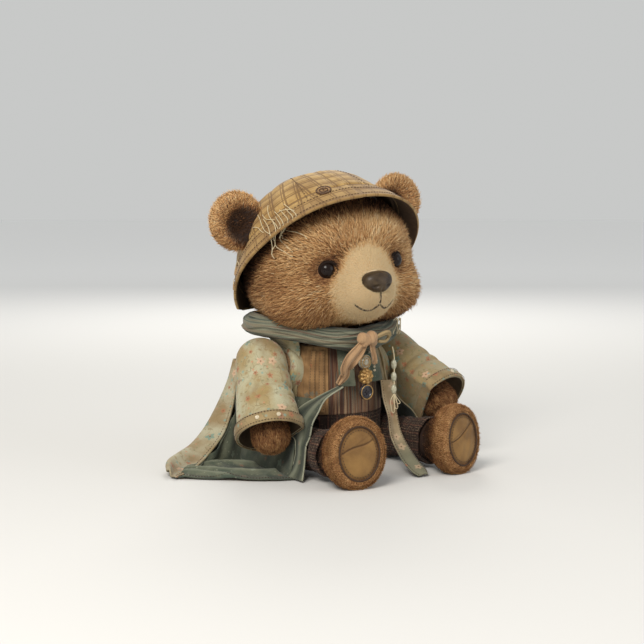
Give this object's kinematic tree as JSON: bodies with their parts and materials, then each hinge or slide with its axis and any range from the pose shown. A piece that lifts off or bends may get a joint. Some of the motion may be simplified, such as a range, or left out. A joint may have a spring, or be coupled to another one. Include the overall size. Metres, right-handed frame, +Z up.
{
  "type": "jointed teddy bear",
  "caption": "Sitting plush bear in hat, scarf and floral coat; its head, arms and legs turn on bolted disc joints.",
  "frame": {"origin": "middle of the flat seat that the sitting bear rests on", "axes": "+Z up, the bear faces -Y, its own left side is +X"},
  "size_m": [0.2786, 0.2144, 0.2664],
  "materials": {
    "plush": "matte",
    "pale_plush": "matte",
    "dark_plush": "matte",
    "stuffing": "matte",
    "hardboard": "matte",
    "zinc_steel": "satin",
    "trouser_cloth": "matte",
    "striped_shirt": "matte",
    "waistcoat_cloth": "matte",
    "floral_cotton": "matte",
    "teal_lining": "matte",
    "scarf_cloth": "matte",
    "scarf_tan": "matte",
    "cream_enamel": "gloss",
    "old_gold": "satin",
    "navy_button": "gloss",
    "green_beads": "gloss",
    "nose_black": "satin",
    "dark_thread": "matte",
    "eye_glass": "gloss",
    "ear_dark": "matte",
    "hat_plaid": "matte",
    "wood_button": "satin",
    "suede": "matte"
  },
  "bodies": {
    "torso": {"torso_shell": "plush", "torso_stuffing": "stuffing", "neck_body_disc": "hardboard", "shoulder_body_discs": "hardboard", "hip_body_discs": "hardboard", "joint_bolts": "zinc_steel", "joint_lock_nuts": "zinc_steel", "joint_washers": "zinc_steel", "trousers_seat": "trouser_cloth", "shirt": "striped_shirt", "waistcoat": "waistcoat_cloth", "waistcoat_placket": "waistcoat_cloth", "coat_body": "floral_cotton", "coat_skirt": "floral_cotton", "coat_tail": "floral_cotton", "coat_hem_folds": "teal_lining", "coat_front_right": "teal_lining", "coat_front_left": "floral_cotton", "coat_collar": "teal_lining", "scarf": "scarf_cloth", "scarf_knot": "scarf_tan", "scarf_tail_long": "scarf_tan", "scarf_tail_short": "scarf_tan", "brooch_cameo": "cream_enamel", "brooch_rosette": "old_gold", "dark_button": "navy_button", "chest_beads": "green_beads"},
    "head": {"head_shell": "plush", "head_stuffing": "stuffing", "neck_head_disc": "hardboard", "muzzle": "pale_plush", "nose": "nose_black", "mouth_stitch": "dark_thread", "eyes": "eye_glass", "ear_right": "plush", "ear_left": "plush", "ear_linings": "ear_dark", "hat_crown": "hat_plaid", "hat_brim": "hat_plaid", "hat_button": "wood_button", "hat_side_buttons": "wood_button"},
    "arm_right": {"arm_right": "plush", "arm_stuffing_right": "stuffing", "arm_disc_right": "hardboard", "sleeve_right": "floral_cotton"},
    "arm_left": {"arm_left": "plush", "arm_stuffing_left": "stuffing", "arm_disc_left": "hardboard", "sleeve_left": "floral_cotton"},
    "leg_right": {"leg_right": "dark_plush", "leg_stuffing_right": "stuffing", "leg_disc_right": "hardboard", "foot_pad_right": "suede", "trouser_leg_right": "trouser_cloth"},
    "leg_left": {"leg_left": "dark_plush", "leg_stuffing_left": "stuffing", "leg_disc_left": "hardboard", "foot_pad_left": "suede", "trouser_leg_left": "trouser_cloth"}
  },
  "joints": [
    {"name": "neck_turn", "type": "hinge", "parent": "torso", "child": "head", "pos_m": [0, 0, 0.122], "axis": [0, 0, 1], "range_deg": [-30, 30]},
    {"name": "shoulder_right_swing", "type": "hinge", "parent": "torso", "child": "arm_right", "pos_m": [-0.056, -0.005, 0.089], "axis": [-0.9659, 0, 0.2588], "range_deg": [-29, 50]},
    {"name": "shoulder_left_swing", "type": "hinge", "parent": "torso", "child": "arm_left", "pos_m": [0.056, -0.005, 0.089], "axis": [-0.9659, 0, -0.2588], "range_deg": [-50, 28]},
    {"name": "hip_right_swing", "type": "hinge", "parent": "torso", "child": "leg_right", "pos_m": [-0.035, -0.005, 0.021], "axis": [1, 0, 0], "range_deg": [0, 90]},
    {"name": "hip_left_swing", "type": "hinge", "parent": "torso", "child": "leg_left", "pos_m": [0.035, -0.005, 0.021], "axis": [1, 0, 0], "range_deg": [0, 90]}
  ]
}
